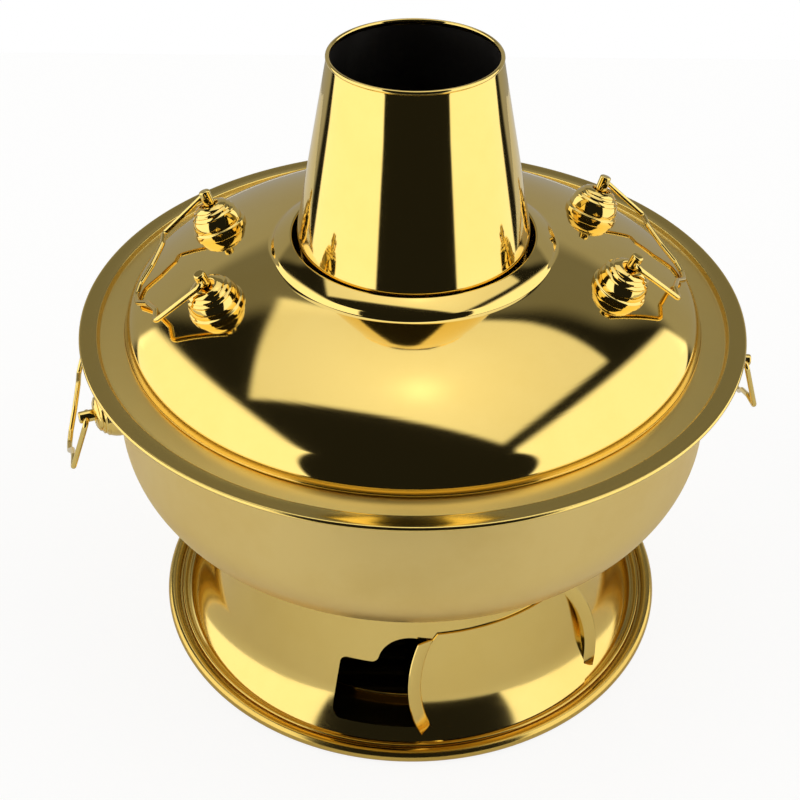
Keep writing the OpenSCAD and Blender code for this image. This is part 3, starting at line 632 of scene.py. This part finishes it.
# Lid. A spun ring lid: a collar round the chimney hole, a domed crown that turns down
# steeply at its edge, and a small rolled bead just over the ledge. Mirror polished.
lid_sheet = 1.0
lid_rest_z = 176.8
collar_bead = (57.8, 220.5, 0.8)
crown_r, shoulder_r, edge_r = 140.0, 161.2, 15.8
collar_foot_r = 66.2
edge_bead_r = 0.8
slopes = (8, 14, 34, 84)
slope_in, slope_mid, slope_out, slope_end = (math.radians(a) for a in slopes)
turn_in, turn_mid, turn_out, turn_end = (90 - a for a in slopes)
crown_x = collar_foot_r - crown_r * math.sin(slope_in)
shoulder_x = crown_x + (crown_r - shoulder_r) * math.sin(slope_mid)
edge_x = shoulder_x + (shoulder_r - edge_r) * math.sin(slope_out)
edge_z = lid_rest_z + 1.1 * lid_sheet - edge_r * math.cos(slope_end)
shoulder_z = edge_z - (shoulder_r - edge_r) * math.cos(slope_out)
crown_z = shoulder_z - (crown_r - shoulder_r) * math.cos(slope_mid)
edge_bead = (edge_x + edge_r * math.sin(slope_end) - lid_sheet / 2, lid_rest_z + edge_bead_r, edge_bead_r)


def lid_line(inward):
    """The lid's dome from its collar to its foot, moved inwards by a distance."""
    return (arc(crown_x, crown_z, crown_r - inward, turn_in, turn_mid, 12)
            + arc(shoulder_x, shoulder_z, shoulder_r - inward, turn_mid, turn_out, 30)[1:]
            + arc(edge_x, edge_z, edge_r - inward, turn_out, turn_end, 24)[1:])


collar_step = [(65.4, 217.0), (65.9, 216.6), (66.25, 215.7)]
collar_under = [(65.6, 214.2), (64.9, 215.9)]
lid = spin_sheet("lid_sheet", arc(*collar_bead, 230, 66, 14) + collar_step + lid_line(0)[1:]
                 + arc(*edge_bead, 40, -220, 20) + lid_line(lid_sheet)[::-1] + collar_under, steps=256)
lid.data.materials.append(bright_gold)
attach(lid, "lid")
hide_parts("lid", "lid_edge")

# Lid and bowl knobs. Polished turned beehive knobs with a flanged base, a tall body, three stepped
# ridges and a sunk top. Each is held to the lid or the bowl by its eye stud.
knob_r = 13.2
knob_h = 13.0
eye_h = 16.6
eye_half = 36.7
lid_lug_r = 98.2
lid_lug_tilt = math.asin((lid_lug_r - shoulder_x) / shoulder_r)
lid_lug_z = shoulder_z + shoulder_r * math.cos(lid_lug_tilt)
lid_spread = math.asin(eye_half / (lid_lug_r + eye_h * math.sin(lid_lug_tilt)))
lid_turn = math.radians(5.3)
bowl_lug_z = 156.5
bowl_spread = math.asin(eye_half / (bowl_wall_r + eye_h))
bowl_turn = math.radians(9)
bore_r = 2.0
foot_sunk = -1.6
seat_z = knob_h - 2
beehive = ([(bore_r, foot_sunk), (knob_r, foot_sunk)] + arc(knob_r - 0.9, 1.1, 0.9, 0, 80, 6)
           + [(12.15, 2.25), (12.25, 2.6), (12.2, 3.6), (11.9, 5.2), (11.35, 6.8), (10.9, 7.7)]
           + [(10.95, 8.0), (10.75, 8.5), (10.0, 9.0), (9.65, 9.4)]
           + [(9.75, 9.75), (9.45, 10.3), (8.5, 10.75), (8.15, 11.1)]
           + [(8.2, 11.45), (7.85, 11.95), (6.8, 12.4), (6.2, 12.75), (5.5, knob_h), (4.7, knob_h)]
           + arc(4.7, knob_h - 0.5, 0.5, 90, 180, 4) + [(4.2, seat_z), (bore_r, seat_z)])


def copy_of(piece, name, place):
    """A copy of a piece with its own mesh, whose points are moved to their place."""
    twin = bpy.data.objects.new(name, piece.data.copy())
    bpy.context.scene.collection.objects.link(twin)
    twin.data.name = name
    twin.data.transform(place)
    return twin


def on_lid(angle):
    """Place of a lug on the lid, at an angle about the axis, with +Z along the dome's normal."""
    return (Matrix.Rotation(angle, 4, "Z") @ Matrix.Translation((lid_lug_r * mm, 0, lid_lug_z * mm))
            @ Matrix.Rotation(lid_lug_tilt, 4, "Y"))


def on_bowl(angle):
    """Place of a lug on the bowl's wall, at an angle about the axis, with +Z pointing out."""
    return (Matrix.Rotation(angle, 4, "Z") @ Matrix.Translation((bowl_wall_r * mm, 0, bowl_lug_z * mm))
            @ Matrix.Rotation(math.pi / 2, 4, "Y"))


# The left side is the right one turned by half a turn, so its front lug is the one at +1
lug_places = {}
for side, side_name in ((0, "right"), (1, "left")):
    for way, way_name in ((-1, "back" if side else "front"), (1, "front" if side else "back")):
        lid_angle = lid_turn + math.pi * side + way * lid_spread
        bowl_angle = bowl_turn + math.pi * side + way * bowl_spread
        lug_places["lid", side_name, way_name] = on_lid(lid_angle)
        lug_places["bowl", side_name, way_name] = on_bowl(bowl_angle)

knob = spin_sheet("beehive_knob", beehive, steps=96)
# Solid cores of the lid and of the bowl's wall, which cut the knobs' feet to their faces
lid_core_top, lid_core_r = 221, 57
bowl_core_low, bowl_core_top = 120, 176
lid_core = spin_sheet("lid_core", [(0, lid_core_top), (lid_core_r, lid_core_top)] + lid_line(0)
                      + [(0, lid_rest_z)], steps=256)
bowl_core = spin_sheet("bowl_core", [(0, bowl_core_low), (bowl_wall_r, bowl_core_low),
                                     (bowl_wall_r, bowl_core_top), (0, bowl_core_top)], steps=256)
for (where, side_name, way_name), place in lug_places.items():
    label = f"{where}_knob_{side_name}_{way_name}"
    piece = copy_of(knob, label + "_shell", place)
    cut_with(piece, lid_core if where == "lid" else bowl_core, keep_tool=True)
    piece.data.materials.append(bright_gold)
    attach(piece, "lid" if where == "lid" else "pot")
    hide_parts(label)
bpy.data.objects.remove(knob)
bpy.data.objects.remove(lid_core)
bpy.data.objects.remove(bowl_core)

# Eye studs. Polished turned posts with a shoulder in the knob's sunk top and a cross bore for the
# bail; the tail goes through knob and sheet and is peened over inside.
stud_r = 2.8
stud_over = 3.6
tail_r = 2.0
wire_r = 1.3
eye_fit = 0.3
stud_top = eye_h + stud_over
stud_round = 0.9
drill_depth = 0.014
peened = [(0, -2.6), (2.4, -2.6), (3.3, -2.2), (3.8, -1.5), (3.8, -1.05), (tail_r, -1.05)]
stud = spin_sheet("eye_stud", peened + [(tail_r, seat_z), (stud_r, seat_z), (stud_r, stud_top - stud_round)]
                  + arc(stud_r - stud_round, stud_top - stud_round, stud_round, 0, 90, 8)
                  + [(0, stud_top)], steps=64)
for (where, side_name, way_name), place in lug_places.items():
    label = f"{where}_eye_{side_name}_{way_name}"
    piece = copy_of(stud, label + "_stud", place)
    eye_spot = place @ Vector((0, 0, eye_h * mm))
    turn = (lid_turn if where == "lid" else bowl_turn) + (math.pi if side_name == "left" else 0)
    bpy.ops.object.select_all(action="DESELECT")
    bpy.ops.mesh.primitive_cylinder_add(vertices=48, radius=(wire_r + eye_fit) * mm, depth=drill_depth)
    drill = bpy.context.object
    drill.data.transform(Matrix.Translation(eye_spot) @ Matrix.Rotation(turn, 4, "Z")
                         @ Matrix.Rotation(math.pi / 2, 4, "X"))
    cut_with(piece, drill)
    piece.data.materials.append(bright_gold)
    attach(piece, "lid" if where == "lid" else "pot")
    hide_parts(label)
bpy.data.objects.remove(stud)

# Bails. Polished wire bent to two arms and a grip that bows out to a blunt point, its two
# ends sprung into the eyes. The lid's pair lies on the dome; the bowl's hangs, leaning out.
bail_reach = 46.6
bail_arm = 30.2
bail_half = 42.0
grip_half = 38.4
bowl_bail_out = 19.0
tip_over = 0.8
tip = eye_half - stud_r - tip_over
bow = bail_reach - bail_arm
# Corners of one half of the wire, each with the radius of its bend
corners = [((tip, 0), 0), ((bail_half, 0), 2.2), ((grip_half, bail_arm), 2.5),
           ((grip_half - 9.4, bail_arm + 0.3), 4), ((grip_half - 21.9, bail_arm + 0.4 * bow), 6),
           ((grip_half - 30.4, bail_reach - 0.12 * bow), 5)]
corners = corners + [((0, bail_reach), 8)] + [((-p[0], p[1]), r) for p, r in corners[::-1]]
sweep = 8
wire_smooth_angle = math.radians(40)
wire_path = [corners[0][0]]
for (p0, _), (p1, r), (p2, _) in zip(corners, corners[1:], corners[2:]):
    into = (Vector(p1) - Vector(p0)).normalized()
    out_of = (Vector(p2) - Vector(p1)).normalized()
    bend = into.angle_signed(out_of)
    reach = r * math.tan(abs(bend) / 2)
    centre_way = (out_of - into).normalized()
    centre = Vector(p1) + centre_way * (r / math.cos(abs(bend) / 2))
    start = Vector(p1) - into * reach - centre
    for i in range(sweep + 1):
        a = -bend * i / sweep
        wire_path.append((centre.x + start.x * math.cos(a) - start.y * math.sin(a),
                          centre.y + start.x * math.sin(a) + start.y * math.cos(a)))
wire_path.append(corners[-1][0])
bail = draw_section("wire_bail", wire_path)
bpy.ops.object.convert(target="CURVE")
bail = bpy.context.object
bail.data.dimensions = "3D"
bail.data.bevel_depth = wire_r * mm
bail.data.bevel_resolution = 7
bail.data.use_fill_caps = True
bpy.ops.object.convert(target="MESH")
bail = bpy.context.object
bpy.ops.object.mode_set(mode="EDIT")
bpy.ops.mesh.select_all(action="SELECT")
bpy.ops.mesh.remove_doubles(threshold=weld_distance)
bpy.ops.mesh.normals_make_consistent(inside=False)
bpy.ops.object.mode_set(mode="OBJECT")
bpy.ops.object.shade_smooth_by_angle(angle=wire_smooth_angle)
lid_hinge_x = (lid_lug_r + eye_h * math.sin(lid_lug_tilt)) * math.cos(lid_spread)
lid_hinge_z = lid_lug_z + eye_h * math.cos(lid_lug_tilt)
bowl_hinge_x = (bowl_wall_r + eye_h) * math.cos(bowl_spread)
gap_x, gap_z = lid_hinge_x - shoulder_x, lid_hinge_z - shoulder_z
rest_gap = 0.3
stop_r = shoulder_r + wire_r + rest_gap
gap = math.hypot(gap_x, gap_z)
touch = (gap_x ** 2 + gap_z ** 2 + bail_reach ** 2 - stop_r ** 2) / (2 * bail_reach) / gap
lie = math.asin(touch) + math.atan2(gap_x, gap_z)
hang = math.radians(90 - bowl_bail_out)
# The drawn bail lies in XZ with its reach along +Z; it is turned so that the reach points out
flat = Matrix.Rotation(-math.pi / 2, 4, "Z") @ Matrix.Rotation(-math.pi / 2, 4, "X")
for side, side_name in ((0, "right"), (1, "left")):
    for where, turn, x, z, drop in (("lid", lid_turn, lid_hinge_x, lid_hinge_z, lie),
                                    ("bowl", bowl_turn, bowl_hinge_x, bowl_lug_z, hang)):
        place = (Matrix.Rotation(turn + math.pi * side, 4, "Z") @ Matrix.Translation((x * mm, 0, z * mm))
                 @ Matrix.Rotation(drop, 4, "Y") @ flat)
        label = f"{where}_bail_{side_name}"
        piece = copy_of(bail, label + "_wire", place)
        piece.data.materials.append(bright_gold)
        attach(piece, label)
        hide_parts(label)
bpy.data.objects.remove(bail)
